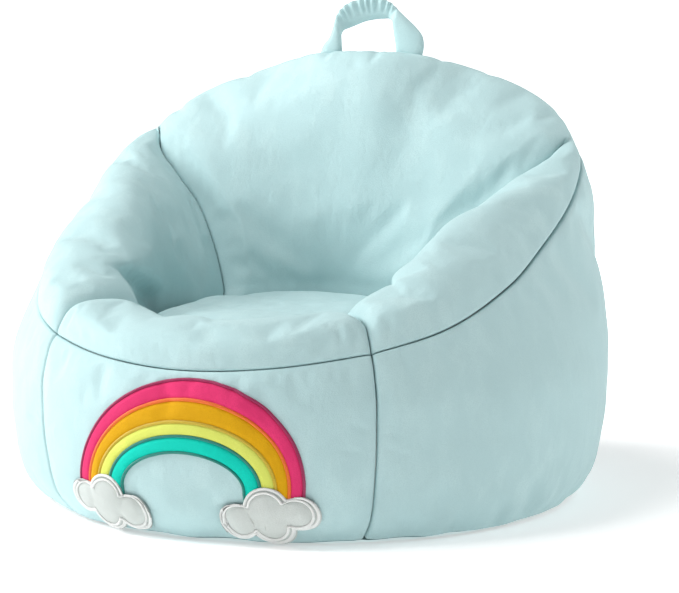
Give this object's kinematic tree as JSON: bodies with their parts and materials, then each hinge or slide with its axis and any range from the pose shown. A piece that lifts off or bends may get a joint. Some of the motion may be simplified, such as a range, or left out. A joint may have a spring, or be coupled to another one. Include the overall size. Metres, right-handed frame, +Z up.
{
  "type": "bean bag chair",
  "caption": "Child's round bean bag chair in velour, with stuffed arms, a domed backrest, a carry handle and a rainbow with clouds on the front.",
  "frame": {"origin": "on the floor, under the middle of the round drum", "axes": "+Z up, -Y towards the chair's front, +X towards the right as seen from the front"},
  "size_m": [0.4828, 0.4843, 0.394],
  "materials": {
    "aqua_velour": "short-pile velour",
    "base_cloth": "plain woven",
    "liner_cloth": "plain woven",
    "bead_fill": "loose beads",
    "fibre_stuffing": "fibre",
    "cloud_velour": "short-pile velour",
    "pink_velour": "short-pile velour",
    "mustard_velour": "short-pile velour",
    "yellow_velour": "short-pile velour",
    "teal_velour": "short-pile velour",
    "zip_tape": "woven tape",
    "zip_coil": "satin",
    "zip_metal": "satin",
    "label_satin": "satin ribbon"
  },
  "bodies": {
    "bag": {"front_panel": "aqua_velour", "left_side_panel": "aqua_velour", "right_side_panel": "aqua_velour", "rear_upper_panel": "aqua_velour", "rear_lower_panel": "aqua_velour", "front_roll_panel": "aqua_velour", "left_arm_panel": "aqua_velour", "right_arm_panel": "aqua_velour", "backrest_panel": "aqua_velour", "seat_panel": "aqua_velour", "base_panel": "base_cloth", "inner_liner": "liner_cloth", "bead_fill": "bead_fill", "front_roll_stuffing": "fibre_stuffing", "left_arm_stuffing": "fibre_stuffing", "right_arm_stuffing": "fibre_stuffing", "backrest_stuffing": "fibre_stuffing", "left_cloud_patch": "cloud_velour", "right_cloud_patch": "cloud_velour", "rainbow_pink_band": "pink_velour", "rainbow_mustard_band": "mustard_velour", "rainbow_yellow_band": "yellow_velour", "rainbow_teal_band": "teal_velour", "zipper_tape_upper": "zip_tape", "zipper_tape_lower": "zip_tape", "zipper_coil": "zip_coil", "zipper_stops": "zip_metal", "care_label": "label_satin"},
    "handle": {"carry_handle": "aqua_velour"},
    "zip_slider": {"zipper_slider": "zip_metal"}
  },
  "joints": [
    {"name": "handle_flop", "type": "hinge", "parent": "bag", "child": "handle", "pos_m": [0, 0.124, 0.367], "axis": [1, 0, 0], "range_deg": [-85, 85]},
    {"name": "zip_run", "type": "hinge", "parent": "bag", "child": "zip_slider", "pos_m": [0, 0, 0.062], "axis": [0, 0, 1], "range_deg": [0, 113]}
  ]
}
